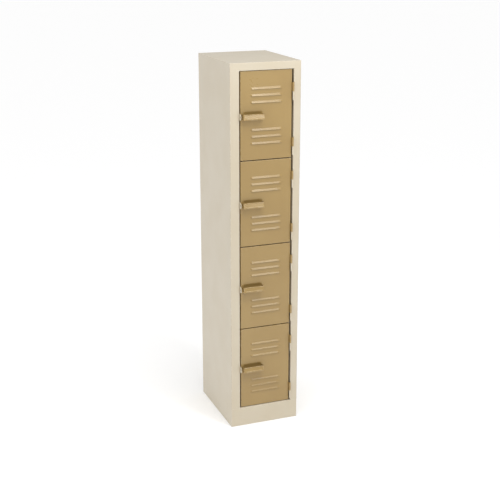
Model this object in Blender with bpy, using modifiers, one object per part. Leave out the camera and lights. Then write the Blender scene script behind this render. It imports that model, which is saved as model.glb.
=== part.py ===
"""A four-door steel locker: one narrow column of sheet-metal compartments.

Metres, +Z up. X runs across the front, to the right as one faces the doors, and the front faces -Y.
The origin is on the floor, at the centre of the whole outline, handles included.
The carcass is folded 1 mm sheet, welded together. Each door is a folded pan on two lift-off hinges.
"""

import math

import bmesh
import bpy
from mathutils import Vector

# Driving dimensions of the whole locker
WIDTH = 0.350
DEPTH = 0.450
HEIGHT = 1.800
DOORS = 4
SHEET = 0.001
CLEAR = 0.0003

# How the shapes are drawn: the tolerance for picking a vertex on a line, how squarely a face
# looks along an axis to count as facing it, and the facets of the round stretches
NEAR = SHEET / 100
FACING = 0.9
ROUND_SIDES = 12
HOLE_SIDES = 14
CORNER_STEPS = 4
FOLD_STEPS = 2
SHARP_DEGREES = 40.0

# Front frame
OPENING_LEFT = -0.1300
OPENING_RIGHT = 0.1405
OPENING_BOTTOM = 0.096
OPENING_TOP = 1.764
WELD_FLANGE = 0.020
STOP_DEPTH = 0.0235
STOP_WIDTH = 0.016
RAIL_LIP = 0.014
FLOOR_FLANGE = 0.018
REAR_RETURN = 0.015
REAR_RAIL_RETURN = 0.020

# Trays: the lid, the compartment floor and the shelves
LID_FLANGE = 0.015
FLOOR_TRAY_FLANGE = 0.014
SHELF_FLANGE = 0.020
SHELF_RISE = 0.002

# Doors
DOOR_LEFT = -0.1225
DOOR_RIGHT = 0.1325
DOOR_GAP = 0.0045
DOOR_RECESS = 0.005
DOOR_THICKNESS = 0.016
DOOR_LIP = 0.012
LOUVRE_HEIGHTS = (-0.1315, -0.1000, -0.0685, 0.0595, 0.0910, 0.1225)
LOUVRE_LENGTH = 0.158
LOUVRE_RISE = 0.009
LOUVRE_PROUD = 0.0045
LOUVRE_SLOPE = 0.006
LOUVRE_KERF = 0.0006
RECESS_LEFT = -0.110
RECESS_RIGHT = -0.014
RECESS_TOP = 0.024
RECESS_BOTTOM = -0.012
RECESS_DEPTH = 0.0035
RECESS_DRAFT = 0.006
RECESS_TOP_DRAFT = 0.014

# Pull handle and padlock staple, heights counted from the door's middle
HANDLE_LEFT = -0.116
HANDLE_RIGHT = -0.012
HANDLE_TOP = 0.012
HANDLE_BOTTOM = -0.0155
HANDLE_PROUD = 0.025
HANDLE_LEAN = 0.006
HANDLE_SHEET = 0.0015
HANDLE_BEND = 0.004
STAPLE_SHEET = 0.0018
STAPLE_PROUD = 0.021
STAPLE_ROOT = 0.020
STAPLE_HEIGHT = 0.030
STAPLE_CORNER = 0.012
PADLOCK_HOLE_RADIUS = 0.0050
PADLOCK_HOLE_PROUD = 0.010
PADLOCK_CUT_LENGTH = 0.009

# Hinges: the frame's half below, the door's half dropped on its pin
HINGE_X = 0.1365
HINGE_PROUD = 0.0045
KNUCKLE_RADIUS = 0.004
KNUCKLE_BORE = 0.0024
FRAME_KNUCKLE = 0.040
DOOR_KNUCKLE = 0.042
KNUCKLE_GAP = 0.0005
HINGE_JOINTS = (0.052, 0.310)
LEAF_SHEET = 0.0015
LEAF_REACH = 0.022
PIN_RADIUS = 0.0020
PIN_LENGTH = 0.072

# Rubber buffers behind the doors' free edge
BUFFER_X = -0.118
BUFFER_RADIUS = 0.0035
BUFFER_OFFSET = 0.150

# Places worked out from the above
FRONT = (HANDLE_PROUD - DEPTH) / 2
BACK = FRONT + DEPTH
INNER = WIDTH / 2 - SHEET - CLEAR
BACK_PANEL_FACE = BACK - SHEET - CLEAR
TRAY_BACK = BACK_PANEL_FACE - SHEET - CLEAR
TRAY_FRONT = FRONT + STOP_DEPTH + SHEET + CLEAR
DOOR_PITCH = (OPENING_TOP - OPENING_BOTTOM) / DOORS
DOOR_HEIGHT = DOOR_PITCH - DOOR_GAP
HINGE_Y = FRONT - HINGE_PROUD
DOOR_MIDDLE_X = (DOOR_LEFT + DOOR_RIGHT) / 2

# name: (red, green, blue, roughness, metallic)
FINISHES = {
    "cream_paint": (0.72, 0.66, 0.55, 0.45, 0.0),
    "tan_paint": (0.46, 0.34, 0.17, 0.45, 0.0),
    "zinc_steel": (0.62, 0.62, 0.60, 0.35, 1.0),
    "black_rubber": (0.03, 0.03, 0.03, 0.85, 0.0),
}


def clear_scene():
    for item in list(bpy.data.objects):
        bpy.data.objects.remove(item, do_unlink=True)


def new_collection(name):
    collection = bpy.data.collections.new(name)
    bpy.context.scene.collection.children.link(collection)
    return collection


def make_materials():
    materials = {}
    for name, (red, green, blue, roughness, metallic) in FINISHES.items():
        material = bpy.data.materials.new(name)
        material.use_nodes = True
        shader = material.node_tree.nodes["Principled BSDF"]
        shader.inputs["Base Color"].default_value = (red, green, blue, 1.0)
        shader.inputs["Roughness"].default_value = roughness
        shader.inputs["Metallic"].default_value = metallic
        materials[name] = material
    return materials


def add_object(name, data, finish, location=(0.0, 0.0, 0.0)):
    """Put mesh or curve data in the locker's collection, in its finish."""
    item = bpy.data.objects.new(name, data)
    item.location = location
    if not data.materials:
        data.materials.append(MATERIALS[finish])
    LOCKER.objects.link(item)
    return item


def mesh_from(bm, name):
    mesh = bpy.data.meshes.new(name)
    bm.to_mesh(mesh)
    bm.free()
    return mesh


def thicken(item, thickness=SHEET):
    """Give an open surface its sheet thickness, on the side its normals point away from."""
    solid = item.modifiers.new("sheet", "SOLIDIFY")
    solid.thickness = thickness
    solid.offset = -1.0
    solid.use_even_offset = True
    solid.use_rim = True


def folded_section(name, profile, along, start, end, finish):
    """A sheet folded to a profile and swept along X or Z.

    The profile's points are (x, y) for a sweep along Z and (y, z) for one along X.
    The outer face is on the right of the way the points run, and the metal is behind it.
    """
    def place(point, travel):
        first, second = point
        if along == "Z":
            return Vector((first, second, travel))
        return Vector((travel, first, second))

    bm = bmesh.new()
    verts = [bm.verts.new(place(point, start)) for point in profile]
    edges = [bm.edges.new(pair) for pair in zip(verts, verts[1:])]
    swept = bmesh.ops.extrude_edge_only(bm, edges=edges)
    moved = [part for part in swept["geom"] if isinstance(part, bmesh.types.BMVert)]
    direction = place((0.0, 0.0), 1.0)
    bmesh.ops.translate(bm, verts=moved, vec=direction * (end - start))
    bmesh.ops.recalc_face_normals(bm, faces=bm.faces)
    bm.normal_update()
    first_fold = verts[1].co - verts[0].co
    bm.edges.ensure_lookup_table()
    first_face = edges[0].link_faces[0]
    if first_face.normal.dot(first_fold.cross(direction)) < 0:
        bmesh.ops.reverse_faces(bm, faces=bm.faces)
    item = add_object(name, mesh_from(bm, name), finish)
    thicken(item)
    return item


def tray(name, y_front, y_back, top, flange, finish):
    """A flat sheet between the side panels, its four edges folded down."""
    bm = bmesh.new()
    bmesh.ops.create_grid(bm, x_segments=1, y_segments=1, size=1.0)
    for vert in bm.verts:
        y = y_front if vert.co.y < 0 else y_back
        vert.co = Vector((math.copysign(INNER, vert.co.x), y, top))
    rim = [edge for edge in bm.edges if edge.is_boundary]
    folded = bmesh.ops.extrude_edge_only(bm, edges=rim)
    moved = [part for part in folded["geom"] if isinstance(part, bmesh.types.BMVert)]
    bmesh.ops.translate(bm, verts=moved, vec=(0.0, 0.0, -flange))
    bmesh.ops.recalc_face_normals(bm, faces=bm.faces)
    item = add_object(name, mesh_from(bm, name), finish)
    thicken(item)
    return item


def flat_panel(name, low, high, finish):
    """A plain rectangular sheet between two corners."""
    bm = bmesh.new()
    bmesh.ops.create_cube(bm, size=1.0)
    low = Vector(low)
    high = Vector(high)
    size = high - low
    bmesh.ops.scale(bm, verts=bm.verts, vec=size)
    bmesh.ops.translate(bm, verts=bm.verts, vec=(low + high) / 2)
    return add_object(name, mesh_from(bm, name), finish)


def side_panels():
    half = WIDTH / 2
    left = [(-half + REAR_RETURN, BACK), (-half, BACK), (-half, FRONT)]
    folded_section("left_side_panel", left, "Z", 0.0, HEIGHT, "cream_paint")
    right = [(-x, y) for x, y in reversed(left)]
    folded_section("right_side_panel", right, "Z", 0.0, HEIGHT, "cream_paint")


def front_frame():
    """Two full-width rails with two uprights between them. The left upright holds the doors' stop."""
    stop_y = FRONT + STOP_DEPTH
    ledge_y = stop_y + SHEET
    weld_y = FRONT + WELD_FLANGE
    left = [(-INNER, weld_y), (-INNER, FRONT), (OPENING_LEFT, FRONT),
            (OPENING_LEFT, stop_y), (OPENING_LEFT + STOP_WIDTH, stop_y)]
    right = [(OPENING_RIGHT, stop_y), (OPENING_RIGHT, FRONT), (INNER, FRONT), (INNER, weld_y)]
    low = OPENING_BOTTOM + CLEAR
    high = OPENING_TOP - CLEAR
    folded_section("left_upright", left, "Z", low, high, "cream_paint")
    folded_section("right_upright", right, "Z", low, high, "cream_paint")
    bottom = [(ledge_y, OPENING_BOTTOM - RAIL_LIP), (ledge_y, OPENING_BOTTOM), (FRONT, OPENING_BOTTOM),
              (FRONT, 0.0), (FRONT + FLOOR_FLANGE, 0.0)]
    folded_section("bottom_rail", bottom, "X", -INNER, INNER, "cream_paint")
    top = [(FRONT, HEIGHT), (FRONT, OPENING_TOP), (ledge_y, OPENING_TOP), (ledge_y, OPENING_TOP + RAIL_LIP)]
    folded_section("top_rail", top, "X", -INNER, INNER, "cream_paint")


def carcass():
    side_panels()
    front_frame()
    flat_panel("back_panel", (-INNER, BACK_PANEL_FACE - SHEET, 0.0), (INNER, BACK_PANEL_FACE, HEIGHT),
               "cream_paint")
    tray("top_panel", FRONT + SHEET + CLEAR, TRAY_BACK, HEIGHT, LID_FLANGE, "cream_paint")
    tray("base_panel", TRAY_FRONT, TRAY_BACK, OPENING_BOTTOM, FLOOR_TRAY_FLANGE, "cream_paint")
    rail_top = OPENING_BOTTOM - FLOOR_TRAY_FLANGE - CLEAR
    rear = [(TRAY_BACK - REAR_RAIL_RETURN, 0.0), (TRAY_BACK, 0.0), (TRAY_BACK, rail_top),
            (TRAY_BACK - REAR_RAIL_RETURN, rail_top)]
    folded_section("rear_base_rail", rear, "X", -INNER, INNER, "cream_paint")
    for number in range(1, DOORS):
        level = OPENING_TOP - number * DOOR_PITCH + SHELF_RISE
        tray(f"shelf_{number}", TRAY_FRONT, TRAY_BACK, level, SHELF_FLANGE, "cream_paint")


def door_lines():
    """The door's fold, louvre and recess lines across X and up Z, from its hinge axis and its middle."""
    louvre_left = DOOR_MIDDLE_X - LOUVRE_LENGTH / 2
    louvre_right = DOOR_MIDDLE_X + LOUVRE_LENGTH / 2
    across = [DOOR_LEFT, DOOR_RIGHT,
              louvre_left, louvre_left + LOUVRE_SLOPE, louvre_right - LOUVRE_SLOPE, louvre_right,
              RECESS_LEFT, RECESS_LEFT + RECESS_DRAFT, RECESS_RIGHT - RECESS_DRAFT, RECESS_RIGHT]
    up = [-DOOR_HEIGHT / 2, DOOR_HEIGHT / 2,
          RECESS_BOTTOM, RECESS_BOTTOM + RECESS_DRAFT, RECESS_TOP - RECESS_TOP_DRAFT, RECESS_TOP]
    for height in LOUVRE_HEIGHTS:
        up += [height, height + LOUVRE_RISE]
    return sorted(across), sorted(up)


def press_louvres(bm):
    """Cut each louvre's lower edge and press the metal above the cut outwards."""
    left = DOOR_MIDDLE_X - LOUVRE_LENGTH / 2
    right = DOOR_MIDDLE_X + LOUVRE_LENGTH / 2
    for height in LOUVRE_HEIGHTS:
        def on_cut(vert):
            return abs(vert.co.z - height) < NEAR and left - NEAR < vert.co.x < right + NEAR

        cut = [edge for edge in bm.edges if all(on_cut(vert) for vert in edge.verts)]
        bmesh.ops.split_edges(bm, edges=cut)
        inner = [vert for vert in bm.verts if on_cut(vert) and left + NEAR < vert.co.x < right - NEAR]
        for vert in inner:
            if all(face.calc_center_median().z > height for face in vert.link_faces):
                vert.co.y -= LOUVRE_PROUD
            else:
                vert.co.z -= LOUVRE_KERF


def press_recess(bm):
    """Press the finger recess back into the skin, leaving sloped walls round it, the longest on top."""
    for vert in bm.verts:
        in_width = RECESS_LEFT + NEAR < vert.co.x < RECESS_RIGHT - NEAR
        in_height = RECESS_BOTTOM + NEAR < vert.co.z < RECESS_TOP - NEAR
        if in_width and in_height:
            vert.co.y += RECESS_DEPTH


def door_mesh():
    """A pan: the pressed front skin, four edges folded back, and a lip folded in all round."""
    across, up = door_lines()
    bm = bmesh.new()
    bmesh.ops.create_grid(bm, x_segments=len(across) - 1, y_segments=len(up) - 1, size=1.0)
    for vert in bm.verts:
        column = round((vert.co.x + 1) / 2 * (len(across) - 1))
        row = round((vert.co.y + 1) / 2 * (len(up) - 1))
        vert.co = Vector((across[column], 0.0, up[row]))
    skin_rim = [edge for edge in bm.edges if edge.is_boundary]
    flange = bmesh.ops.extrude_edge_only(bm, edges=skin_rim)
    flange_verts = [part for part in flange["geom"] if isinstance(part, bmesh.types.BMVert)]
    bmesh.ops.translate(bm, verts=flange_verts, vec=(0.0, DOOR_THICKNESS, 0.0))
    flange_rim = [edge for edge in bm.edges if edge.is_boundary]
    lip = bmesh.ops.extrude_edge_only(bm, edges=flange_rim)
    inner_height = DOOR_HEIGHT / 2 - DOOR_LIP
    for part in lip["geom"]:
        if isinstance(part, bmesh.types.BMVert):
            part.co.x = min(max(part.co.x, DOOR_LEFT + DOOR_LIP), DOOR_RIGHT - DOOR_LIP)
            part.co.z = min(max(part.co.z, -inner_height), inner_height)
    press_louvres(bm)
    press_recess(bm)
    bmesh.ops.recalc_face_normals(bm, faces=bm.faces)
    bm.normal_update()
    front = min(bm.faces, key=lambda face: face.calc_center_median().y)
    if front.normal.y > 0:
        bmesh.ops.reverse_faces(bm, faces=bm.faces)
    shift = (-HINGE_X, HINGE_PROUD + DOOR_RECESS, 0.0)
    bmesh.ops.translate(bm, verts=bm.verts, vec=shift)
    return mesh_from(bm, "door")


def stretch_front(bm):
    """Bring the handle's front out to its full reach, which its rounded lower fold falls short of."""
    reach = -min(vert.co.y for vert in bm.verts)
    for vert in bm.verts:
        if vert.co.y < 0:
            vert.co.y *= HANDLE_PROUD / reach


def handle_mesh():
    """An open-topped pull: front, floor and two end plates, open at the back where the door is.

    The front leans back towards the door at its top.
    """
    bm = bmesh.new()
    bmesh.ops.create_cube(bm, size=1.0)
    low = Vector((HANDLE_LEFT, -HANDLE_PROUD, HANDLE_BOTTOM))
    high = Vector((HANDLE_RIGHT, DOOR_RECESS - CLEAR, HANDLE_TOP))
    bmesh.ops.scale(bm, verts=bm.verts, vec=high - low)
    bmesh.ops.translate(bm, verts=bm.verts, vec=(low + high) / 2)
    top_edge = [vert for vert in bm.verts if vert.co.y < 0 < vert.co.z]
    bmesh.ops.translate(bm, verts=top_edge, vec=(0.0, HANDLE_LEAN, 0.0))
    bm.normal_update()
    open_faces = [face for face in bm.faces if max(face.normal.y, face.normal.z) > FACING]
    bmesh.ops.delete(bm, geom=open_faces, context="FACES_ONLY")
    folds = [edge for edge in bm.edges if len(edge.link_faces) == 2]
    bmesh.ops.bevel(bm, geom=folds, offset=HANDLE_BEND, offset_type="OFFSET", segments=FOLD_STEPS,
                    profile=0.5, affect="EDGES")
    loose = [edge for edge in bm.edges if not edge.link_faces]
    bmesh.ops.delete(bm, geom=loose, context="EDGES")
    stretch_front(bm)
    bmesh.ops.translate(bm, verts=bm.verts, vec=(-HINGE_X, HINGE_PROUD, 0.0))
    return mesh_from(bm, "handle")


def arc(centre, radius, start, end, steps):
    """Points on a circle's arc, from one angle to another, in degrees."""
    points = []
    for step in range(steps + 1):
        angle = math.radians(start + (end - start) * step / steps)
        points.append((centre[0] + radius * math.cos(angle), centre[1] + radius * math.sin(angle)))
    return points


def flat_outline(name, outlines, thickness):
    """A 2D curve of closed outlines, the first with the others cut out of it."""
    curve = bpy.data.curves.new(name, "CURVE")
    curve.dimensions = "2D"
    curve.fill_mode = "BOTH"
    curve.extrude = thickness / 2
    for points in outlines:
        spline = curve.splines.new("POLY")
        spline.points.add(len(points) - 1)
        for place, (x, y) in zip(spline.points, points):
            place.co = (x, y, 0.0, 1.0)
        spline.use_cyclic_u = True
    return curve


def circle(centre, radius, steps):
    return arc(centre, radius, 0.0, 360.0, steps)[:-1]


def staple_curve():
    """A plate drawn in its own plane: X outwards from the frame, Y up."""
    half = STAPLE_HEIGHT / 2
    tip = STAPLE_PROUD - STAPLE_CORNER
    outline = [(-STAPLE_ROOT, -half)]
    outline += arc((tip, -half + STAPLE_CORNER), STAPLE_CORNER, -90.0, 0.0, CORNER_STEPS)
    outline += arc((tip, half - STAPLE_CORNER), STAPLE_CORNER, 0.0, 90.0, CORNER_STEPS)
    outline += [(-STAPLE_ROOT, half)]
    hole = circle((PADLOCK_HOLE_PROUD, 0.0), PADLOCK_HOLE_RADIUS, HOLE_SIDES)
    return flat_outline("staple", [outline, hole], STAPLE_SHEET)


def knuckle_curve(name, leaf_left, leaf_right, height):
    """A rolled knuckle and its leaf, seen along the pin: the leaf runs straight back from the roll."""
    start = math.degrees(math.acos(leaf_left / KNUCKLE_RADIUS))
    end = math.degrees(math.acos(leaf_right / KNUCKLE_RADIUS)) + 360.0
    outline = arc((0.0, 0.0), KNUCKLE_RADIUS, start, end, ROUND_SIDES)
    outline += [(leaf_right, LEAF_REACH), (leaf_left, LEAF_REACH)]
    bore = circle((0.0, 0.0), KNUCKLE_BORE, ROUND_SIDES)
    return flat_outline(name, [outline, bore], height)


def cylinder_mesh(name, radius, length, sides=ROUND_SIDES):
    bm = bmesh.new()
    bmesh.ops.create_cone(bm, cap_ends=True, segments=sides, radius1=radius, radius2=radius,
                          depth=length)
    mesh = mesh_from(bm, name)
    mesh.shade_smooth()
    mesh.set_sharp_from_angle(angle=math.radians(SHARP_DEGREES))
    return mesh


def cut_padlock_hole(handle, bar):
    """Cut the shackle's hole through the handle's left end plate."""
    cutter = bpy.data.objects.new("cutter_" + handle.name, bar)
    cutter.location = (HANDLE_LEFT, FRONT - PADLOCK_HOLE_PROUD, handle.location.z)
    cutter.rotation_euler = (0.0, math.pi / 2, 0.0)
    cutter.hide_render = True
    cutter.display_type = "WIRE"
    CUTTERS.objects.link(cutter)
    hole = handle.modifiers.new("padlock_hole", "BOOLEAN")
    hole.operation = "DIFFERENCE"
    hole.object = cutter
    hole.solver = "EXACT"


def hinge(where, level, frame_half, door_half, pin):
    """One lift-off hinge: the frame's half, its pin, and the door's half dropped on above."""
    frame_middle = level - FRAME_KNUCKLE / 2
    door_middle = level + KNUCKLE_GAP + DOOR_KNUCKLE / 2
    pin_middle = level - FRAME_KNUCKLE + PIN_LENGTH / 2
    add_object("hinge_frame_half_" + where, frame_half, "cream_paint", (HINGE_X, HINGE_Y, frame_middle))
    add_object("hinge_door_half_" + where, door_half, "tan_paint", (HINGE_X, HINGE_Y, door_middle))
    add_object("hinge_pin_" + where, pin, "zinc_steel", (HINGE_X, HINGE_Y, pin_middle))


def doors():
    """Four doors, numbered from the top, each with its handle, staple, hinges and buffers."""
    pan = door_mesh()
    pull = handle_mesh()
    bar = cylinder_mesh("padlock_cutter", PADLOCK_HOLE_RADIUS, PADLOCK_CUT_LENGTH, HOLE_SIDES)
    staple = staple_curve()
    frame_leaf_right = OPENING_RIGHT - CLEAR - HINGE_X
    door_leaf_left = DOOR_RIGHT + CLEAR - HINGE_X
    frame_half = knuckle_curve("hinge_frame_half", frame_leaf_right - LEAF_SHEET, frame_leaf_right,
                               FRAME_KNUCKLE)
    door_half = knuckle_curve("hinge_door_half", door_leaf_left, door_leaf_left + LEAF_SHEET,
                              DOOR_KNUCKLE)
    pin = cylinder_mesh("hinge_pin", PIN_RADIUS, PIN_LENGTH)
    door_back = DOOR_RECESS + DOOR_THICKNESS
    buffer_length = STOP_DEPTH - door_back - 2 * CLEAR
    buffer_y = FRONT + (STOP_DEPTH + door_back) / 2
    rubber = cylinder_mesh("door_buffer", BUFFER_RADIUS, buffer_length)
    staple_x = OPENING_LEFT + CLEAR + STAPLE_SHEET / 2
    for number in range(1, DOORS + 1):
        middle = OPENING_TOP - (number - 0.5) * DOOR_PITCH
        bottom = middle - DOOR_HEIGHT / 2
        door = add_object(f"door_{number}", pan, "tan_paint", (HINGE_X, HINGE_Y, middle))
        thicken(door)
        handle = add_object(f"handle_{number}", pull, "tan_paint", (HINGE_X, HINGE_Y, middle))
        thicken(handle, HANDLE_SHEET)
        cut_padlock_hole(handle, bar)
        lug = add_object(f"padlock_staple_{number}", staple, "cream_paint", (staple_x, FRONT, middle))
        lug.rotation_euler = (math.pi / 2, 0.0, -math.pi / 2)
        for place, height in zip(("lower", "upper"), HINGE_JOINTS):
            hinge(f"{place}_{number}", bottom + height, frame_half, door_half, pin)
        for place, offset in (("lower", -BUFFER_OFFSET), ("upper", BUFFER_OFFSET)):
            stop = add_object(f"door_buffer_{place}_{number}", rubber, "black_rubber",
                              (BUFFER_X, buffer_y, middle + offset))
            stop.rotation_euler = (math.pi / 2, 0.0, 0.0)


clear_scene()
LOCKER = new_collection("four_door_locker")
CUTTERS = new_collection("cutters")
MATERIALS = make_materials()
carcass()
doors()
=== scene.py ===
import math

import bpy
import numpy as np
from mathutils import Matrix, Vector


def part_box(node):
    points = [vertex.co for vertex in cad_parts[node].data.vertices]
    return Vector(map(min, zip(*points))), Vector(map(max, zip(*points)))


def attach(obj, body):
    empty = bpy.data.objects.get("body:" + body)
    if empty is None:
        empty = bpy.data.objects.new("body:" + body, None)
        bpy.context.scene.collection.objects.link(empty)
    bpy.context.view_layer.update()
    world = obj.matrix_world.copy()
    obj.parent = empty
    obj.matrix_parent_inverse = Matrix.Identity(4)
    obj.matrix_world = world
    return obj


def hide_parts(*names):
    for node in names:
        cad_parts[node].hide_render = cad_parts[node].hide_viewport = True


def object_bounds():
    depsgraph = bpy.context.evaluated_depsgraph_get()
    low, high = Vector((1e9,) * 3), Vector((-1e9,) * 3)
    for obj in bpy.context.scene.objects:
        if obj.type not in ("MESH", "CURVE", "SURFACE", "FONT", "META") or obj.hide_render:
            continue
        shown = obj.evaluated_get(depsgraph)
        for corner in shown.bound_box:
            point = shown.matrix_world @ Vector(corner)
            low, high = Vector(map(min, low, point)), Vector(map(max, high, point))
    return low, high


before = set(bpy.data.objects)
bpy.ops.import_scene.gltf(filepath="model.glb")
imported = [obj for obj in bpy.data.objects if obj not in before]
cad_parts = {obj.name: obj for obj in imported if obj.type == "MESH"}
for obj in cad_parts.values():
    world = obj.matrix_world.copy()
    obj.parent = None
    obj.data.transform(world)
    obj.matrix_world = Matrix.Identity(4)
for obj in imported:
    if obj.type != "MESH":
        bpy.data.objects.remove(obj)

cad_low, cad_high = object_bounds()


# Side panels
# Two full-height sheets of 1 mm steel. The rear edge is folded in 15 mm to carry the back panel,
# and the front edge is turned in and dressed flush with the front frame. Stoved cream enamel.

SHEET = 0.001
TIGHT_BEND = 0.0
SHEET_BEND = 0.0010
FLAT_MARGIN = 0.0015
REAR_RETURN = 0.015
FRONT_TURN = 0.0010
CREASE_DEGREES = 38.0
NEAR = 1e-6
CREAM = (0.605, 0.535, 0.410, 1.0)
CREAM_DRIFT = (0.590, 0.515, 0.385, 1.0)
# The paler cream of thin paint on edges, also laid on the hinge knuckles as a painted highlight.
CREAM_THIN_AND_HIGHLIGHT = (0.720, 0.680, 0.590, 1.0)
CREAM_ROUGH = 0.40
SHEET_WAVES, WAVE_HEIGHT = 3.2, 0.0022
ORANGE_PEEL, PEEL_HEIGHT = 430.0, 0.000016
COLOUR_CLOUDS = 7.0
PAINT_FLECKS = 95.0
COAT, COAT_ROUGH = 0.35, 0.15
WELD_PITCH = 0.105
WELD_RADIUS = 0.0035
WELD_FLOOR = 0.55
WELD_DEPTH = 0.00020
WELD_ABOVE_BASE, WELD_ABOVE_SHELF, WELD_ABOVE_TOP = 0.006, 0.008, 0.007


class Tone:
    """A socket in a material's node tree. Arithmetic on tones adds the Math nodes it needs."""

    def __init__(self, tree, socket=None):
        self.tree = tree
        self.socket = socket

    def node(self, kind, settings=None, sockets=None, out=0):
        """Add a node: its type, its settings, then a value or a tone for each socket."""
        made = self.tree.nodes.new(kind)
        for name, value in (settings or {}).items():
            setattr(made, name, value)
        for name, value in (sockets or {}).items():
            if isinstance(value, Tone):
                self.tree.links.new(value.socket, made.inputs[name])
            else:
                made.inputs[name].default_value = value
        return Tone(self.tree, made.outputs[out])

    def also(self, out):
        """Another output of the node this tone came from."""
        return Tone(self.tree, self.socket.node.outputs[out])

    def math(self, operation, *values):
        return self.node("ShaderNodeMath", {"operation": operation}, dict(enumerate(values)))

    def __add__(self, other):
        return self.math("ADD", self, other)

    def __radd__(self, other):
        return self.math("ADD", other, self)

    def __sub__(self, other):
        return self.math("SUBTRACT", self, other)

    def __rsub__(self, other):
        return self.math("SUBTRACT", other, self)

    def __mul__(self, other):
        return self.math("MULTIPLY", self, other)

    def __rmul__(self, other):
        return self.math("MULTIPLY", other, self)

    def __pow__(self, power):
        return self.math("POWER", self, power)

    def __abs__(self):
        return self.math("ABSOLUTE", self)

    def __mod__(self, step):
        return self.math("FLOORED_MODULO", self, step)

    def least(self, other):
        return self.math("MINIMUM", self, other)

    def rise(self, low, high):
        """0 below low, 1 above high, and a smooth step between."""
        spread = {"Value": self, "From Min": low, "From Max": high}
        return self.node("ShaderNodeMapRange", {"interpolation_type": "SMOOTHSTEP"}, spread)

    def noise(self, place, scale, detail=2.0):
        return self.node("ShaderNodeTexNoise", {}, {"Vector": place, "Scale": scale, "Detail": detail})

    def blend(self, share, first, second):
        """A colour mixed from two, by a share of the second."""
        sockets = {0: share, 6: first, 7: second}
        return self.node("ShaderNodeMix", {"data_type": "RGBA"}, sockets, 2)


def weld_dimples(place, across, up, rows, pitch):
    """How deep a point lies in a spot weld's dimple, from 0 to 1.

    The welds stand in level rows, a pitch apart. A point's distance to the nearest weld is the
    hypotenuse of its distance to the nearest row and to the middle of its pitch.
    """
    split = place.node("ShaderNodeSeparateXYZ", {}, {0: place})
    along = abs(split.also(across) % pitch - pitch / 2)
    off_row = abs(split.also(up) - rows[0])
    for row in rows[1:]:
        off_row = off_row.least(abs(split.also(up) - row))
    away = (along * along + off_row * off_row) ** 0.5
    return 1 - away.rise(WELD_RADIUS * WELD_FLOOR, WELD_RADIUS)


def new_finish(name):
    """A new material, its shader, and the place of a point on it, in metres."""
    material = bpy.data.materials.new(name)
    material.use_nodes = True
    place = Tone(material.node_tree).node("ShaderNodeTexCoord", out="Object")
    return material, material.node_tree.nodes["Principled BSDF"], place


def drive(shader, colour, roughness, height):
    """Feeds the shader what changes over the surface. The height, in metres, tilts its normal."""
    bump = height.node("ShaderNodeBump", {}, {"Strength": 1.0, "Distance": 1.0, "Height": height})
    for name, tone in (("Base Color", colour), ("Roughness", roughness), ("Normal", bump)):
        tone.tree.links.new(tone.socket, shader.inputs[name])


def enamel(name, paint, drift, thin_and_highlight, rough, welds=None):
    """Stoved enamel sprayed on steel sheet.

    Its colour drifts slowly over the sheet and turns paler where the paint runs thin on edges; on hinge
    knuckles that paler paint is partly a painted highlight.
    Its height, in metres, is an orange peel, the slow waves of thin sheet, and any spot welds.
    """
    material, shader, place = new_finish(name)
    waves = place.noise(place, SHEET_WAVES, 1.0)
    cloud = place.noise(place, COLOUR_CLOUDS, 3.0)
    peel = place.noise(place, ORANGE_PEEL, 1.0)
    fleck = place.noise(place, PAINT_FLECKS, 4.0)
    edge = place.node("ShaderNodeAttribute", {"attribute_name": "wear_and_highlight"}, out="Fac")
    # Paler paint on edges and crests is wear; on hinge knuckles it is partly a painted highlight.
    rubbed_and_highlight = edge * fleck.rise(0.42, 0.66)
    colour = place.blend(cloud.rise(0.3, 0.7), paint, drift)
    colour = place.blend(rubbed_and_highlight * 0.55, colour, thin_and_highlight)
    roughness = rough + (cloud - 0.5) * 0.10 + (fleck - 0.5) * 0.05 + rubbed_and_highlight * 0.12
    height = peel * PEEL_HEIGHT + waves * WAVE_HEIGHT
    if welds:
        height = height - weld_dimples(place, *welds) * WELD_DEPTH
    drive(shader, colour, roughness, height)
    shader.inputs["Coat Weight"].default_value = COAT
    shader.inputs["Coat Roughness"].default_value = COAT_ROUGH
    return material


def folded_profile(corners, bends, steps=6):
    """The outer face of a folded sheet seen end on, and how exposed each of its points is.

    Each corner becomes an arc touching both flats. The metal lies on the left of the way the
    points run, so a turn to the left takes the bend's radius plus the sheet and a turn to the
    right the bend's alone. A point a margin away from every arc and end keeps the flats flat.
    """
    corners = np.array(corners, float)
    flats = np.diff(corners, axis=0)
    lengths = np.linalg.norm(flats, axis=1)
    runs = flats / lengths[:, None]
    lefts = np.stack([-runs[:, 1], runs[:, 0]], axis=1)
    trims = np.zeros(len(corners))
    arcs = {}
    for k, bend in enumerate(np.broadcast_to(bends, len(corners) - 2), start=1):
        turn = math.atan2(lefts[k - 1] @ runs[k], runs[k - 1] @ runs[k])
        side = math.copysign(1.0, turn)
        radius = bend + (SHEET if turn > 0 else 0.0)
        trims[k] = radius * math.tan(abs(turn) / 2)
        angle = np.linspace(0.0, turn, steps + 1)[:, None]
        centre = corners[k] - runs[k - 1] * trims[k] + side * radius * lefts[k - 1]
        arcs[k] = centre - side * radius * (np.cos(angle) * lefts[k - 1] - np.sin(angle) * runs[k - 1])
    points = [corners[:1]]
    wear_and_highlight = [np.ones(1)]
    for k in range(1, len(corners)):
        near = corners[k - 1] + runs[k - 1] * (trims[k - 1] + FLAT_MARGIN)
        far = corners[k] - runs[k - 1] * (trims[k] + FLAT_MARGIN)
        if (far - near) @ runs[k - 1] > FLAT_MARGIN:
            points.append(np.stack([near, far]))
            wear_and_highlight.append(np.zeros(2))
        ending = arcs.get(k, corners[k:k + 1])
        if k in arcs or trims[k - 1] < lengths[k - 1]:
            points.append(ending)
            wear_and_highlight.append(np.ones(len(ending)))
    return np.concatenate(points), np.concatenate(wear_and_highlight)


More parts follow.
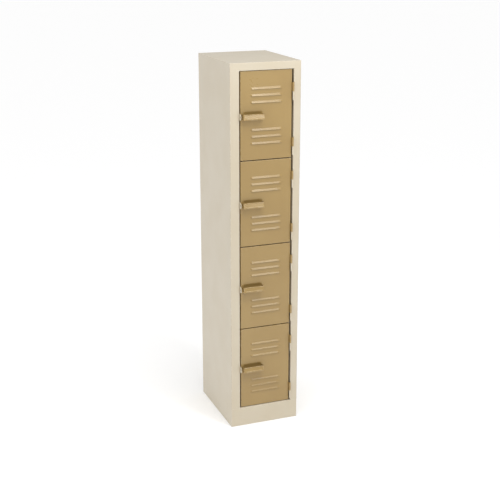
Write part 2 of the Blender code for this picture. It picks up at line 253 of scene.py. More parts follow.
def grid_faces(numbers):
    """Quads between the neighbouring rows and columns of a grid of vertex numbers."""
    quads = [numbers[:-1, :-1], numbers[1:, :-1], numbers[1:, 1:], numbers[:-1, 1:]]
    return np.stack(quads, axis=-1).reshape(-1, 4)


def swept(profile, along, start, end):
    """A profile carried in a straight line along X or Z: point (i, j) is profile point i at station j."""
    points, wear_and_highlight = profile
    stations = np.array([start, start + FLAT_MARGIN, end - FLAT_MARGIN, end])
    shape = (len(points), len(stations))
    first = np.broadcast_to(points[:, :1], shape)
    second = np.broadcast_to(points[:, 1:], shape)
    travel = np.broadcast_to(stations, shape)
    order = (first, second, travel) if along == "Z" else (travel, first, second)
    numbers = np.arange(first.size).reshape(shape)
    exposed = np.maximum(wear_and_highlight[:, None], np.array([1.0, 0.0, 0.0, 1.0]))
    return np.stack(order, axis=-1).reshape(-1, 3), grid_faces(numbers), exposed.ravel()


def welded(surface):
    """Joins points that fall together, and drops the faces and corners that lose their area."""
    points, faces, wear_and_highlight = surface
    cells = np.round(points / NEAR).astype(np.int64)
    _, first, number = np.unique(cells, axis=0, return_index=True, return_inverse=True)
    faces = number.reshape(-1)[faces]
    same = faces == np.roll(faces, -1, axis=1)
    kept = same.sum(axis=1) <= 1
    faces, same = faces[kept], same[kept]
    shift = np.where(same.any(axis=1), same.argmax(axis=1) - 2, 0)
    faces = np.take_along_axis(faces, (np.arange(4) + shift[:, None]) % 4, axis=1)
    return points[first], faces, wear_and_highlight[first]


def of_sheet(surface, thickness=SHEET):
    """Doubles a surface back by the sheet's thickness, against its normals, with a rim round every edge.

    A point's normal is the sum of its faces' normals, each as long as its face is large. An edge
    is open where no face runs along it the other way.
    """
    points, faces, wear_and_highlight = surface
    diagonals = points[faces[:, 2]] - points[faces[:, 0]], points[faces[:, 3]] - points[faces[:, 1]]
    large = np.cross(*diagonals)
    normals = np.zeros_like(points)
    for corner in range(4):
        np.add.at(normals, faces[:, corner], large)
    normals /= np.linalg.norm(normals, axis=1, keepdims=True)
    edges = np.stack([faces, np.roll(faces, -1, axis=1)], axis=-1).reshape(-1, 2)
    edges = edges[edges[:, 0] != edges[:, 1]]
    count = len(points)
    open_edges = edges[~np.isin(edges[:, 0] * count + edges[:, 1], edges[:, 1] * count + edges[:, 0])]
    start, end = open_edges.T
    rims = np.stack([end, start, start + count, end + count], axis=1)
    back = np.where(faces[:, 2:3] == faces[:, 3:4], faces[:, [2, 1, 0, 0]], faces[:, ::-1]) + count
    everything = np.concatenate([points, points - normals * thickness])
    return everything, np.concatenate([faces, back, rims]), np.tile(wear_and_highlight, 2)


def together(*surfaces):
    """Several surfaces as one, their vertex numbers counted on."""
    starts = np.cumsum([0] + [len(points) for points, _, _ in surfaces[:-1]])
    faces = [faces + start for (_, faces, _), start in zip(surfaces, starts)]
    points = [points for points, _, _ in surfaces]
    return np.concatenate(points), np.concatenate(faces), np.concatenate([s[2] for s in surfaces])


def add_piece(name, surface, finish, body, node):
    """Make the mesh, smooth but for its creases, and let it stand for its node on its body.

    A closed surface turned inside out has a negative volume, a sixth of the sum of its
    triangles' triple products, and is turned back.
    """
    points, faces, wear_and_highlight = welded(surface)
    near = points - points.mean(axis=0)
    fans = [(faces[:, 0], faces[:, 1], faces[:, 2]), (faces[:, 0], faces[:, 2], faces[:, 3])]
    volume = sum((near[a] * np.cross(near[b], near[c])).sum() for a, b, c in fans)
    if volume < 0:
        faces = faces[:, [1, 0, 3, 2]]
    three = faces[:, 2] == faces[:, 3]
    mesh = bpy.data.meshes.new(name)
    mesh.from_pydata(points.tolist(), [], faces[~three].tolist() + faces[three, :3].tolist())
    # Marks where the paint turns paler: wear on edges, and partly a painted highlight on hinge knuckles.
    mesh.attributes.new("wear_and_highlight", "FLOAT", "POINT").data.foreach_set("value", wear_and_highlight.astype(np.float32))
    mesh.shade_smooth()
    mesh.set_sharp_from_angle(angle=math.radians(CREASE_DEGREES))
    mesh.materials.append(finish)
    piece = bpy.data.objects.new(name, mesh)
    bpy.context.scene.collection.objects.link(piece)
    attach(piece, body)
    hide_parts(node)
    return piece


shelf_rows = [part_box(f"shelf_{k}")[0].z + WELD_ABOVE_SHELF for k in (1, 2, 3)]
weld_rows = [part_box("base_panel")[0].z + WELD_ABOVE_BASE, *shelf_rows,
             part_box("top_panel")[0].z + WELD_ABOVE_TOP]
side_cream = enamel("cream_enamel_welded", CREAM, CREAM_DRIFT, CREAM_THIN_AND_HIGHLIGHT, CREAM_ROUGH,
                    ("Y", "Z", weld_rows, WELD_PITCH))
for side, flip in (("left", 1.0), ("right", -1.0)):
    low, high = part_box(f"{side}_side_panel")
    face = low.x if side == "left" else high.x
    corners = [(face + flip * REAR_RETURN, high.y), (face, high.y), (face, low.y),
               (face + flip * FRONT_TURN, low.y)]
    if side == "right":
        corners = corners[::-1]
    bends = [SHEET_BEND, TIGHT_BEND] if side == "left" else [TIGHT_BEND, SHEET_BEND]
    panel = of_sheet(swept(folded_profile(corners, bends), "Z", low.z, high.z))
    add_piece(f"{side}_side", panel, side_cream, "carcass", f"{side}_side_panel")


# Back panel
# A flat 1 mm sheet behind the compartments, held by the side panels' rear returns. It is
# spot welded to the shelves' rear flanges in level rows.

BACK_ROUGH = 0.42
BACK_WELD_PITCH = 0.085
back_cream = enamel("cream_enamel_back", CREAM, CREAM_DRIFT, CREAM_THIN_AND_HIGHLIGHT, BACK_ROUGH,
                    ("X", "Z", weld_rows, BACK_WELD_PITCH))
low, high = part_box("back_panel")
back_line = folded_profile([(high.x, high.y), (low.x, high.y)], [])
add_piece("back", of_sheet(swept(back_line, "Z", low.z, high.z)), back_cream, "carcass", "back_panel")


# Base
# The floor of the lowest compartment, a tray with its edges folded down, stands on a front plinth
# rail and a rear channel. The plinth rail is folded at the floor and again under the lowest door.

LEDGE_LIP = 0.014
FLOOR_FLANGE = 0.018
REAR_FLANGE = 0.020
cream = enamel("cream_enamel", CREAM, CREAM_DRIFT, CREAM_THIN_AND_HIGHLIGHT, CREAM_ROUGH)


def lines(*runs):
    """Sorted grid lines from runs of (start, end, count)."""
    return np.unique(np.round(np.concatenate([np.linspace(*run) for run in runs]), 7))


def fold_back(radius, depth, lip=0.0, steps=5):
    """A rim's profile as (outwards, back) steps: a quarter arc, a flange, and an optional lip turned in.

    The arc starts on the flat's outline, so the flange stands one radius outside it.
    """
    angle = np.linspace(0.0, math.pi / 2, steps + 1)
    out = radius * np.sin(angle)
    back = radius * (1 - np.cos(angle))
    wear_and_highlight = np.ones(steps + 1)
    out = np.append(out, radius)
    back = np.append(back, radius + FLAT_MARGIN)
    wear_and_highlight = np.append(wear_and_highlight, 0.0)
    if lip:
        edge = radius - lip
        out = np.concatenate([out, [radius], radius * np.cos(angle),
                              [-FLAT_MARGIN, edge + FLAT_MARGIN, edge]])
        back = np.concatenate([back, [depth - radius - FLAT_MARGIN],
                               depth - radius + radius * np.sin(angle), np.full(3, depth)])
        wear_and_highlight = np.concatenate([wear_and_highlight, [0.0], np.ones(steps + 1), [0.0, 0.0, 1.0]])
    else:
        out = np.append(out, [radius, radius])
        back = np.append(back, [depth - FLAT_MARGIN, depth])
        wear_and_highlight = np.append(wear_and_highlight, [0.0, 1.0])
    return out, back, wear_and_highlight


def pan(us, vs, raised, rim, sides=("left", "bottom", "right", "top"), cut=None, turn_steps=4):
    """A flat with its edges folded back, as points (u, v, w) with w outwards.

    The flat is the grid of us by vs, raised by a height at each point, less its cut cells. The
    rim's profile is carried round the flat's outline, anticlockwise: a step outwards moves an
    outline point along its side's normal, which turns through a quarter circle at a corner, and a
    step inwards holds it to a rectangle that much smaller, which mitres the lip.
    """
    numbers = np.arange(us.size * vs.size).reshape(us.size, vs.size)
    u, v = np.meshgrid(us, vs, indexing="ij")
    flat = np.stack([u, v, raised], axis=-1).reshape(-1, 3)
    cells = grid_faces(numbers)
    if cut is not None:
        cells = cells[~cut.ravel()]
    line_of = {"left": (numbers[0, ::-1], 180.0), "bottom": (numbers[:, 0], 270.0),
               "right": (numbers[-1], 360.0), "top": (numbers[::-1, -1], 450.0)}
    path, heading = [], []
    for side in sides:
        line, angle = line_of[side]
        if path:
            path.append(np.full(turn_steps - 1, line[0]))
            heading.append(np.linspace(angle - 90.0, angle, turn_steps + 1)[1:-1])
        path.append(line)
        heading.append(np.full(line.size, angle))
    whole = len(sides) == 4
    if whole:
        path.append(np.full(turn_steps, path[0][0]))
        heading.append(np.linspace(450.0, 540.0, turn_steps + 1)[1:])
    path = np.concatenate(path)
    heading = np.radians(np.concatenate(heading))
    out, back, wear_and_highlight = (np.array(part)[1:, None] for part in rim)
    half = np.array([us[-1] - us[0], vs[-1] - vs[0]]) / 2
    middle = np.array([us[0], vs[0]]) + half
    inward = np.minimum(out, 0.0)[..., None]
    held = np.clip(flat[path, :2] - middle, -half - inward, half + inward) + middle
    away = np.stack([np.cos(heading), np.sin(heading)], axis=-1) * np.maximum(out, 0.0)[..., None]
    rings = np.concatenate([held + away, np.broadcast_to(-back[..., None], held.shape[:2] + (1,))], axis=-1)
    ring_numbers = np.concatenate([path[None], len(flat) + np.arange(rings[..., 0].size)
                                   .reshape(rings.shape[:2])])
    points = np.concatenate([flat, rings.reshape(-1, 3)])
    exposed = np.zeros(flat.shape[0])
    exposed[path] = 1.0
    exposed = np.concatenate([exposed, np.broadcast_to(wear_and_highlight, rings.shape[:2]).ravel()])
    return points, np.concatenate([cells, grid_faces(ring_numbers)]), exposed, ring_numbers


def level_tray(node):
    """A tray's upper side: a level flat with its four edges folded down."""
    low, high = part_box(node)
    radius = SHEET_BEND + SHEET
    us = lines((low.x + radius, low.x + radius + FLAT_MARGIN, 2),
               (high.x - radius - FLAT_MARGIN, high.x - radius, 2))
    vs = lines((low.y + radius, low.y + radius + FLAT_MARGIN, 2),
               (high.y - radius - FLAT_MARGIN, high.y - radius, 2))
    rim = fold_back(radius, high.z - low.z)
    points, faces, wear_and_highlight, _ = pan(us, vs, np.zeros((us.size, vs.size)), rim)
    return of_sheet(welded((points + (0.0, 0.0, high.z), faces, wear_and_highlight)))


add_piece("base", level_tray("base_panel"), cream, "carcass", "base_panel")
low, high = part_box("bottom_rail")
plinth = folded_profile([(high.y, high.z - LEDGE_LIP), (high.y, high.z), (low.y, high.z), (low.y, low.z),
                         (low.y + FLOOR_FLANGE, low.z)], SHEET_BEND)
plinth_piece = of_sheet(swept(plinth, "X", cad_low.x + SHEET, cad_high.x - SHEET))
add_piece("plinth", plinth_piece, cream, "carcass", "bottom_rail")
low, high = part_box("rear_base_rail")
channel = folded_profile([(high.y - REAR_FLANGE, low.z), (high.y, low.z), (high.y, high.z),
                          (high.y - REAR_FLANGE, high.z)], SHEET_BEND)
add_piece("rear_channel", of_sheet(swept(channel, "X", low.x, high.x)), cream, "carcass",
          "rear_base_rail")


# Front frame
# Two folded uprights and a top rail, welded between the side panels and dressed flush. The left
# upright and the top rail reach behind the doors to stop them.

WELD_FLANGE = 0.020
STOP_WIDTH = 0.016
RAIL_LIP = 0.014
INTO_RAIL = 0.0019
low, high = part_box("left_upright")
edge = high.x - STOP_WIDTH
left_line = folded_profile([(cad_low.x + SHEET, low.y + WELD_FLANGE), (cad_low.x + SHEET, low.y),
                            (edge, low.y), (edge, high.y - SHEET), (high.x, high.y - SHEET)],
                           [TIGHT_BEND, SHEET_BEND, SHEET_BEND])
left_post = of_sheet(swept(left_line, "Z", low.z - INTO_RAIL, high.z + INTO_RAIL))
add_piece("left_post", left_post, cream, "carcass", "left_upright")
low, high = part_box("right_upright")
right_line = folded_profile([(low.x, high.y), (low.x, low.y), (cad_high.x - SHEET, low.y),
                             (cad_high.x - SHEET, low.y + WELD_FLANGE)], [SHEET_BEND, TIGHT_BEND])
right_post = of_sheet(swept(right_line, "Z", low.z - INTO_RAIL, high.z + INTO_RAIL))
add_piece("right_post", right_post, cream, "carcass", "right_upright")
low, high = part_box("top_rail")
header = folded_profile([(low.y + FRONT_TURN, high.z), (low.y, high.z), (low.y, low.z), (high.y, low.z),
                         (high.y, low.z + RAIL_LIP)], [TIGHT_BEND, SHEET_BEND, SHEET_BEND])
add_piece("header", of_sheet(swept(header, "X", cad_low.x + SHEET, cad_high.x - SHEET)), cream,
          "carcass", "top_rail")


# Lid
# A flat top, its edges folded down inside the side panels and the top rail.

add_piece("lid", level_tray("top_panel"), cream, "carcass", "top_panel")


# Shelves
# Three trays between the compartments, their edges folded down and welded to the sides and back.

for number in (1, 2, 3):
    add_piece(f"shelf_tray_{number}", level_tray(f"shelf_{number}"), cream, "carcass",
              f"shelf_{number}")


# Doors
# Four pans of 1 mm steel, each folded back 16 mm all round with a lip turned in. Two banks of
# three louvres and a finger recess are pressed in the skin before folding. Stoved tan enamel.

DOOR_BEND = 0.0009
DOOR_DEPTH = 0.016
DOOR_LIP = 0.012
LOUVRES = (-0.1315, -0.1000, -0.0685, 0.0595, 0.0910, 0.1225)
LOUVRE_LENGTH = 0.158
LOUVRE_RISE = 0.009
LOUVRE_PROUD = 0.0045
LOUVRE_END = 0.009
RAMP = 0.65
MARGIN = 0.0012
KERF = 0.0007
RECESS = ((-0.110, -0.014), (-0.012, 0.024))
RECESS_DEPTH = 0.0035
RECESS_WALL = 0.009
RECESS_BROW = 0.016
TAN = (0.372, 0.248, 0.087, 1.0)
TAN_DRIFT = (0.352, 0.231, 0.080, 1.0)
# The paler tan of thin paint on edges, also laid on the hinge knuckles as a painted highlight.
TAN_THIN_AND_HIGHLIGHT = (0.520, 0.395, 0.210, 1.0)
TAN_ROUGH = 0.30
LOUVRE_WEAR = 0.8
tan = enamel("tan_enamel", TAN, TAN_DRIFT, TAN_THIN_AND_HIGHLIGHT, TAN_ROUGH)


def ease(t):
    """0 to 1 as t goes from 0 to 1, level at both ends."""
    t = np.clip(t, 0.0, 1.0)
    return t * t * (3 - 2 * t)


def door_relief(u, v, middle):
    """How far the skin stands out at a point, with v counted from the door's middle.

    A louvre stands full height on its cut and slopes to nothing above it, a share of that slope
    even and the rest eased, and it eases out at both ends: its height is the product of the two.
    The recess is as deep as the product of four eases, one in from each side, the brow's longest.
    """
    along = np.abs(u - middle)
    ends = ease((LOUVRE_LENGTH / 2 - along) / LOUVRE_END)
    hood = np.zeros_like(u)
    for cut in LOUVRES:
        climb = (v - cut) / LOUVRE_RISE
        slope = 1 - (RAMP * climb + (1 - RAMP) * ease(climb))
        hood += np.where((climb > -NEAR) & (climb < 1), slope, 0.0)
    (left, right), (bottom, top) = RECESS
    wide = ease((u - left) / RECESS_WALL) * ease((right - u) / RECESS_WALL)
    tall = ease((v - bottom) / RECESS_WALL) * ease((top - v) / RECESS_BROW)
    return LOUVRE_PROUD * hood * ends, RECESS_DEPTH * wide * tall


def door_surface(low, high):
    """A door's outer face: the pressed skin with its slits cut, its rim folded back and the lip in."""
    radius = DOOR_BEND + SHEET
    middle = (low.x + high.x) / 2
    level = (low.z + high.z) / 2
    left, right = low.x + radius, high.x - radius
    half = (high.z - low.z) / 2 - radius
    reach = LOUVRE_LENGTH / 2
    us = lines((left, left + FLAT_MARGIN, 2), (right - FLAT_MARGIN, right, 2),
               (middle - reach, middle - reach + LOUVRE_END, 10), (middle - reach, middle + reach, 9),
               (middle + reach - LOUVRE_END, middle + reach, 10), (*RECESS[0], 59),
               *((edge, edge, 1) for edge in (middle - reach - MARGIN, middle + reach + MARGIN,
                                              RECESS[0][0] - MARGIN, RECESS[0][1] + MARGIN)))
    runs = [(-half, -half + FLAT_MARGIN, 2), (half - FLAT_MARGIN, half, 2), (*RECESS[1], 30)]
    for cut in LOUVRES:
        runs += [(cut, cut + LOUVRE_RISE, 10), (cut - KERF, cut - KERF, 1)]
        runs += [(edge, edge, 1) for edge in (cut - KERF - MARGIN, cut + LOUVRE_RISE + MARGIN)]
    runs += [(edge, edge, 1) for edge in (RECESS[1][0] - MARGIN, RECESS[1][1] + MARGIN)]
    vs = lines(*runs)
    u, v = np.meshgrid(us, vs, indexing="ij")
    hood, sunk = door_relief(u, v, middle)
    slit_row = np.zeros(vs.size - 1, bool)
    for cut in LOUVRES:
        slit_row |= np.abs(vs[:-1] - (cut - KERF)) < NEAR
    mid_cell = (us[:-1] + us[1:]) / 2
    slit = (np.abs(mid_cell - middle) < reach)[:, None] & slit_row
    points, faces, wear_and_highlight, _ = pan(us, vs, hood - sunk, fold_back(radius, DOOR_DEPTH, DOOR_LIP), cut=slit)
    wear_and_highlight[:u.size] = np.maximum(wear_and_highlight[:u.size], (hood / LOUVRE_PROUD).ravel() ** 3 * LOUVRE_WEAR)
    face = high.y - DOOR_DEPTH
    points = np.stack([points[:, 0], face - points[:, 2], points[:, 1] + level], axis=1)
    return of_sheet(welded((points, faces, wear_and_highlight)))


for number in (1, 2, 3, 4):
    add_piece(f"door_pan_{number}", door_surface(*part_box(f"door_{number}")), tan, f"door_{number}",
              f"door_{number}")


# Pull handles
# One pressing of 1.5 mm steel on each door: a front plate folded back to the door below and at
# both ends, its top edge rolled. The left end is pierced for a padlock's shackle.

PULL_SHEET = 0.0015
PULL_BEND = 0.004
PULL_END = 0.006
BEAD = 0.0013
BEAD_HALF = 0.0028
ROLL = 0.0045
ROLL_TUCK = 0.7
ROLL_INSET = 0.003
UNDER_ROLL = 0.0008
SHACKLE_HOLE = 0.0050
SHACKLE_BACK = 0.015
LEAN = 0.0060
HOLE_BLOCK = 0.0068


def pierced(surface, block, centre, radius, rings=4):
    """Swaps a block of a surface's grid for rings that close from the block's outline to a round hole.

    Each outline point runs straight towards the centre, and stops on the circle.
    """
    points, faces, wear_and_highlight = surface
    count = len(points)
    dropped = grid_faces(block)
    faces = faces[~np.isin(faces[:, 0] * count + faces[:, 2], dropped[:, 0] * count + dropped[:, 2])]
    loop = np.concatenate([block[:-1, 0], block[-1, :-1], block[:0:-1, -1], block[0, :0:-1]])
    away = points[loop] - centre
    circle = centre + away / np.linalg.norm(away, axis=1, keepdims=True) * radius
    share = np.linspace(0.0, 1.0, rings + 1)[1:, None, None]
    new = points[loop] * (1 - share) + circle * share
    numbers = np.concatenate([loop[None], count + np.arange(new[..., 0].size).reshape(new.shape[:2])])
    numbers = np.concatenate([numbers, numbers[:, :1]], axis=1).T
    exposed = np.repeat(share.ravel() ** 4, loop.size)
    return (np.concatenate([points, new.reshape(-1, 3)]), np.concatenate([faces, grid_faces(numbers)]),
            np.concatenate([wear_and_highlight, exposed]))


def pull_surface(low, high, hole):
    """The pull: a pan folded on three sides with a bead along its foot, and a rolled strip on top.

    The front leans back by a share of its height, and the ends are drawn in towards the door in
    proportion, so a point's way back from the front shrinks as the lean takes up the depth.
    The bead is a half-round whose height is the root of one less the square of the distance from
    its middle, easing out at both ends.
    """
    left, right = low.x + PULL_BEND, high.x - PULL_BEND
    bottom, top = low.z + PULL_BEND, high.z - UNDER_ROLL
    bead_at = bottom + BEAD_HALF
    us = lines((left, left + PULL_END, 7), (left, right, 9), (right - PULL_END, right, 7))
    vs = lines((bottom, bottom + 2 * BEAD_HALF, 13), (hole.z - HOLE_BLOCK, hole.z + HOLE_BLOCK, 7),
               (bottom, top, 4))
    u, v = np.meshgrid(us, vs, indexing="ij")
    round_top = np.sqrt(np.maximum(1 - ((v - bead_at) / BEAD_HALF) ** 2, 0))
    raised = BEAD * round_top * ease((u - left) / PULL_END) * ease((right - u) / PULL_END)
    plate = low.y + BEAD
    depth = high.y - plate
    hole_lean = LEAN * (hole.z - bottom) / (top - bottom)
    at = (hole.y - plate - hole_lean) * depth / (depth - hole_lean)
    angle = np.linspace(0, math.pi / 2, 7)
    back = np.concatenate([PULL_BEND * (1 - np.cos(angle)),
                           np.linspace(at - HOLE_BLOCK, at + HOLE_BLOCK, 7),
                           [depth - FLAT_MARGIN, depth]])
    out = np.concatenate([PULL_BEND * np.sin(angle), np.full(9, PULL_BEND)])
    exposed = np.concatenate([np.ones(7), np.zeros(8), [1.0]])
    points, faces, wear_and_highlight, rings = pan(us, vs, raised, (out, back, exposed), ("left", "bottom", "right"),
                                     turn_steps=6)
    wear_and_highlight[:u.size] = np.maximum(wear_and_highlight[:u.size], (raised / BEAD).ravel() ** 2)
    lean = LEAN * (points[:, 1] - bottom) / (top - bottom) * (1 + points[:, 2] / depth)
    points = np.stack([points[:, 0], plate - points[:, 2] + lean, points[:, 1]], axis=1)
    rows = np.flatnonzero(np.abs(back - at) < HOLE_BLOCK + NEAR)
    columns = np.flatnonzero(np.abs(vs[::-1] - hole.z) < HOLE_BLOCK + NEAR)
    block = rings[rows[0]:rows[-1] + 1, columns[0]:columns[-1] + 1]
    centre = np.array([low.x, hole.y, hole.z])
    shell = of_sheet(welded(pierced((points, faces, wear_and_highlight), block, centre, SHACKLE_HOLE)), PULL_SHEET)
    down = np.array([-LEAN, bottom - top]) / math.hypot(LEAN, top - bottom) * ROLL
    inward = np.array([-down[1], down[0]])
    lip = np.array([low.y + LEAN, high.z])
    roll = [lip + inward + down, lip + inward, lip, lip + down, lip + down + inward * ROLL_TUCK]
    hem = folded_profile(roll, ROLL / 2 - SHEET)
    return together(shell, of_sheet(swept(hem, "X", low.x + ROLL_INSET, high.x - ROLL_INSET)))


for number in (1, 2, 3, 4):
    low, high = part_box(f"handle_{number}")
    staple_low, staple_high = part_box(f"padlock_staple_{number}")
    hole = Vector((low.x, low.y + SHACKLE_BACK, (staple_low.z + staple_high.z) / 2))
    add_piece(f"pull_{number}", pull_surface(low, high, hole), tan, f"door_{number}",
              f"handle_{number}")


# Padlock staples
# A plate with a rounded nose stands out of each slot between the left upright and a door, with a
# hole in line with the pull's. It is welded behind the upright and enamelled with the carcass.

NOSE_CORNER = 0.012
STAPLE_EDGE = 0.0005
OUTLINE_POINTS = 72


def staple_surface(low, high, hole_y):
    """A plate with a round hole, closed all round: a section of rounded edges carried round the plate.

    Each outline point is joined to the point of the hole's circle in its direction. The section
    runs from one to the other on one face and back on the other, with a quarter-round at each edge.
    """
    middle = (low.z + high.z) / 2
    half = (high.z - low.z) / 2
    quarter = np.linspace(0.0, math.pi / 2, 9)
    nose_y = low.y + NOSE_CORNER - NOSE_CORNER * np.sin(quarter)
    nose_z = half - NOSE_CORNER + NOSE_CORNER * np.cos(quarter)
    outline = np.concatenate([[[high.y, 0.0], [high.y, half]], np.stack([nose_y, nose_z], axis=1),
                              np.stack([nose_y, -nose_z], axis=1)[::-1], [[high.y, -half], [high.y, 0.0]]])
    run = np.concatenate([[0.0], np.cumsum(np.linalg.norm(np.diff(outline, axis=0), axis=1))])
    steps = np.linspace(0.0, run[-1], OUTLINE_POINTS + 1)[:-1]
    edge = np.stack([np.interp(steps, run, outline[:, 0]), np.interp(steps, run, outline[:, 1])], axis=1)
    centre = np.array([hole_y, 0.0])
    away = edge - centre
    reach = np.linalg.norm(away, axis=1, keepdims=True)
    hole = centre + away / reach * SHACKLE_HOLE
    inward = (hole - edge) / np.linalg.norm(hole - edge, axis=1, keepdims=True)
    turn = np.linspace(-math.pi / 2, math.pi / 2, 7)
    thick = (high.x - low.x) / 2
    deep = STAPLE_EDGE * (1 - np.cos(turn))
    wide = np.sin(turn) * STAPLE_EDGE + np.sign(turn) * (thick - STAPLE_EDGE)
    rings = np.concatenate([edge + inward * deep[:, None, None], hole - inward * deep[:, None, None]])
    across = np.concatenate([wide, wide[::-1]])[:, None]
    x = np.broadcast_to((low.x + high.x) / 2 + across, rings.shape[:2])
    points = np.stack([x, rings[..., 0], rings[..., 1] + middle], axis=-1)
    numbers = np.pad(np.arange(x.size).reshape(x.shape), ((0, 1), (0, 1)), mode="wrap")
    exposed = np.repeat(np.tile((np.abs(turn) < 1.2) * 1.0, 2), len(edge))
    return points.reshape(-1, 3), grid_faces(numbers), exposed


for number in (1, 2, 3, 4):
    low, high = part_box(f"padlock_staple_{number}")
    pull_low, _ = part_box(f"handle_{number}")
    add_piece(f"staple_{number}", staple_surface(low, high, pull_low.y + SHACKLE_BACK), cream, "carcass",
              f"padlock_staple_{number}")


# Hinges
# Two lift-off hinges a door, standing proud in the gap at the right. Each half is a strip rolled
# round the pin; the door's half drops over the pin that stands in the frame's half.

LEAF = 0.0015
LEAF_GAP = 0.0003
ROLL_FILLET = 0.0014
ROLL_SWEEP_DEGREES = 300.0
# How much paler a knuckle's paint turns: partly wear, partly a painted highlight on the rounded knuckle.
KNUCKLE_WEAR_AND_HIGHLIGHT = 0.6
PIN_EDGE = 0.5
ZINC = (0.62, 0.62, 0.60, 1.0)
ZINC_DULL = 0.72, 0.72, 0.74, 1.0
ZINC_ROUGH = 0.34
ZINC_PATCHES = 160.0
ZINC_GRAIN, GRAIN_HEIGHT = 900.0, 0.00001


def rolled_leaf(low, high, leaf_x, axis_y):
    """A leaf running forwards, then rolled round the pin, seen end on.

    The middle of the metal is a straight line, a small arc that turns off it, and most of a circle
    round the pin that the arc touches, so their centres lie the two radii apart.
    """
    axis_x = (low.x + high.x) / 2
    radius = (high.x - low.x) / 2 - LEAF / 2
    off = leaf_x - axis_x
    up = math.sqrt((radius + ROLL_FILLET) ** 2 - (off + ROLL_FILLET) ** 2)
    to_pin = math.atan2(-up, -(off + ROLL_FILLET)) % math.tau
    turn = np.linspace(math.pi, to_pin, 8)
    start = math.atan2(up, off + ROLL_FILLET)
    wrap = np.linspace(start, start - math.radians(ROLL_SWEEP_DEGREES), 30)[1:]
    leaf = np.linspace(high.y - axis_y, up, 5)[:-1]
    line = np.stack([np.full(4, off), leaf], axis=1)
    fillet = np.stack([off + ROLL_FILLET + ROLL_FILLET * np.cos(turn), up + ROLL_FILLET * np.sin(turn)],
                      axis=1)
    knuckle = np.stack([radius * np.cos(wrap), radius * np.sin(wrap)], axis=1)
    middle = np.concatenate([line, fillet, knuckle])
    tangent = np.gradient(middle, axis=0)
    tangent /= np.linalg.norm(tangent, axis=1, keepdims=True)
    outer = middle + np.stack([tangent[:, 1], -tangent[:, 0]], axis=1) * LEAF / 2
    # The knuckle is marked paler, partly for wear and partly as a painted highlight.
    wear_and_highlight = np.repeat([0.0, KNUCKLE_WEAR_AND_HIGHLIGHT], [len(line) + len(fillet), len(knuckle)])
    return outer + (axis_x, axis_y), wear_and_highlight


def turned(profile, centre, axis, segments=20):
    """A profile of (radius, travel) points turned about an axis along Y or Z, closed at its poles."""
    radius, travel = np.array(profile, float).T
    angle = np.linspace(0.0, math.tau, segments + 1)[:-1]
    first = radius[:, None] * np.cos(angle)
    second = radius[:, None] * np.sin(angle)
    third = np.broadcast_to(travel[:, None], first.shape)
    order = (first, second, third) if axis == "Z" else (first, third, second)
    numbers = np.pad(np.arange(first.size).reshape(first.shape), ((0, 0), (0, 1)), mode="wrap")
    points = np.stack(order, axis=-1).reshape(-1, 3) + np.array(centre)
    return welded((points, grid_faces(numbers), np.zeros(len(points))))


def rounded_bar(radius, half, edge):
    """Half a rod's outline as (radius, travel): flat ends, rounded into the side."""
    turn = np.linspace(0.0, math.pi / 2, 6)
    out = radius - edge + edge * np.sin(turn)
    up = half - edge + edge * np.cos(turn)
    upper = [(0.0, half), *zip(out, up)]
    return upper + [(r, -z) for r, z in reversed(upper)]


def bare_steel(name):
    """Zinc-plated steel: a faint grain, with patches a little duller than the rest."""
    material, shader, place = new_finish(name)
    patch = place.noise(place, ZINC_PATCHES, 3.0)
    grain = place.noise(place, ZINC_GRAIN, 2.0)
    colour = place.blend(patch.rise(0.35, 0.7), ZINC, tuple(np.multiply(ZINC, ZINC_DULL)))
    drive(shader, colour, ZINC_ROUGH + (patch - 0.5) * 0.25, grain * GRAIN_HEIGHT)
    shader.inputs["Metallic"].default_value = 1.0
    return material


zinc = bare_steel("zinc_plate")
frame_leaf_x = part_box("right_upright")[0].x - LEAF_GAP - LEAF / 2
for number in (1, 2, 3, 4):
    door_leaf_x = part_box(f"door_{number}")[1].x + LEAF_GAP + LEAF / 2
    for place in ("lower", "upper"):
        pin_low, pin_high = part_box(f"hinge_pin_{place}_{number}")
        centre = (pin_low + pin_high) / 2
        radius = (pin_high.x - pin_low.x) / 2
        rod = rounded_bar(radius, (pin_high.z - pin_low.z) / 2, radius * PIN_EDGE)
        add_piece(f"pin_{place}_{number}", turned(rod, centre, "Z"), zinc, "carcass",
                  f"hinge_pin_{place}_{number}")
        for half, leaf_x, finish, slot, body in (
                ("frame", frame_leaf_x, cream, "cream_paint", "carcass"),
                ("door", door_leaf_x, tan, "tan_paint", f"door_{number}")):
            node = f"hinge_{half}_half_{place}_{number}"
            low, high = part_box(node)
            strip = swept(rolled_leaf(low, high, leaf_x, centre.y), "Z", low.z, high.z)
            add_piece(f"hinge_{half}_leaf_{place}_{number}", of_sheet(strip, LEAF), finish, body, node)


# Door buffers
# Moulded rubber buttons pushed into the left upright's stop, two a door, which quieten its
# closing.

BUTTON_EDGE = 0.0007
RUBBER = (0.018, 0.018, 0.018, 1.0)
RUBBER_BLOOM = (0.040, 0.038, 0.036, 1.0)
RUBBER_ROUGH = 0.72
RUBBER_MOTTLE = 240.0
RUBBER_GRAIN, MOULD_HEIGHT = 1400.0, 0.00003


def moulded_rubber(name):
    """Black rubber: dull, slightly mottled, with a fine grain from its mould."""
    material, shader, place = new_finish(name)
    mottle = place.noise(place, RUBBER_MOTTLE, 3.0)
    grain = place.noise(place, RUBBER_GRAIN, 1.0)
    colour = place.blend(mottle, RUBBER, RUBBER_BLOOM)
    drive(shader, colour, RUBBER_ROUGH + mottle * 0.2, grain * MOULD_HEIGHT)
    return material


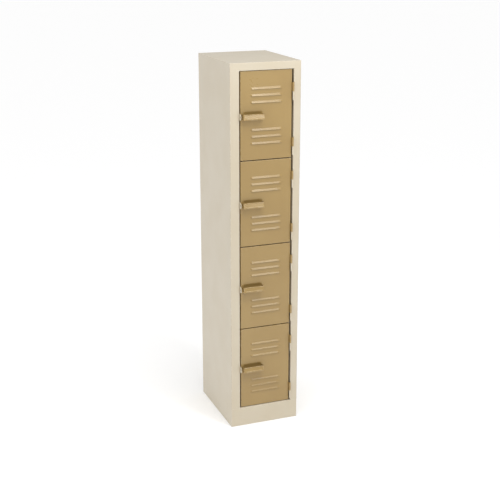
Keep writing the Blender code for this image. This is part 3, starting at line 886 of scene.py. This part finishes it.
rubber = moulded_rubber("black_rubber")
for number in (1, 2, 3, 4):
    for place in ("lower", "upper"):
        node = f"door_buffer_{place}_{number}"
        low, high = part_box(node)
        button = rounded_bar((high.x - low.x) / 2, (high.y - low.y) / 2, BUTTON_EDGE)
        add_piece(f"buffer_{place}_{number}", turned(button, (low + high) / 2, "Y"), rubber, "carcass",
                  node)


# Floor, light and camera
# A pale seamless floor and sky, an overhead light with soft panels over the doors and at both
# sides, and a camera above head height, to the left of the doors.

FLOOR_REACH = 80.0
FLOOR_LEVEL = -0.0006
FLOOR_GLOW = 0.10
SKY_LIGHT = 0.50
CAMERA_PLACE = (-1.7538, -4.6, 2.3688)
CAMERA_DIP = 0.3002
CAMERA_TURN = -0.3650
CAMERA_LENS = 74.28

floor_mesh = bpy.data.meshes.new("studio_floor")
floor_corners = [(-FLOOR_REACH, -FLOOR_REACH), (FLOOR_REACH, -FLOOR_REACH), (FLOOR_REACH, FLOOR_REACH),
                 (-FLOOR_REACH, FLOOR_REACH)]
floor_mesh.from_pydata([(x, y, FLOOR_LEVEL) for x, y in floor_corners], [], [(0, 1, 2, 3)])
studio_floor = bpy.data.objects.new("studio_floor", floor_mesh)
bpy.context.scene.collection.objects.link(studio_floor)
pale = bpy.data.materials.new("pale_floor")
pale.use_nodes = True
for name, value in (("Base Color", (0.93, 0.93, 0.93, 1.0)), ("Roughness", 0.9),
                    ("Emission Color", (1.0, 1.0, 1.0, 1.0)), ("Emission Strength", FLOOR_GLOW)):
    pale.node_tree.nodes["Principled BSDF"].inputs[name].default_value = value
floor_mesh.materials.append(pale)

world = bpy.data.worlds.new("studio")
bpy.context.scene.world = world
world.use_nodes = True
backdrop = world.node_tree.nodes["Background"]
backdrop.inputs["Color"].default_value = (1.0, 1.0, 1.0, 1.0)
seen = Tone(world.node_tree).node("ShaderNodeLightPath", out="Is Camera Ray")
world.node_tree.links.new((SKY_LIGHT + seen * (1 - SKY_LIGHT)).socket, backdrop.inputs["Strength"])


def soft_panel(name, place, aim, size, radiance, tint=(1.0, 1.0, 1.0)):
    """A rectangular studio light facing a point; its power is pi times its area times its radiance."""
    data = bpy.data.lights.new(name, "AREA")
    data.shape = "RECTANGLE"
    data.size, data.size_y = size
    data.energy = math.pi * size[0] * size[1] * radiance
    data.color = tint
    lamp = bpy.data.objects.new(name, data)
    bpy.context.scene.collection.objects.link(lamp)
    lamp.location = place
    lamp.rotation_euler = (Vector(aim) - Vector(place)).to_track_quat("-Z", "Y").to_euler()


sky = bpy.data.lights.new("overhead", "SUN")
sky.energy = 1.5
sky.angle = math.radians(50)
overhead = bpy.data.objects.new("overhead", sky)
bpy.context.scene.collection.objects.link(overhead)
overhead.rotation_euler = (math.radians(12), 0.0, math.radians(-20))
soft_panel("front_right", (0.95, -2.3, 2.8), (0.0, 0.0, 1.1), (0.5, 2.4), 5.2)
soft_panel("above_doors", (0.1, -1.35, 2.9), (0.0, -0.2, 1.6), (0.8, 0.5), 6.4)
soft_panel("left", (-2.4, -0.9, 2.3), (0.0, 0.0, 1.5), (0.9, 1.2), 2.2, (1.0, 0.94, 0.84))

bpy.context.scene.view_settings.view_transform = "Standard"
view = bpy.data.cameras.new("view")
view.lens = CAMERA_LENS
view.sensor_width = 36.0
camera = bpy.data.objects.new("view", view)
camera.location = CAMERA_PLACE
camera.rotation_euler = (math.pi / 2 - CAMERA_DIP, 0.0, CAMERA_TURN)
bpy.context.scene.collection.objects.link(camera)
bpy.context.scene.camera = camera
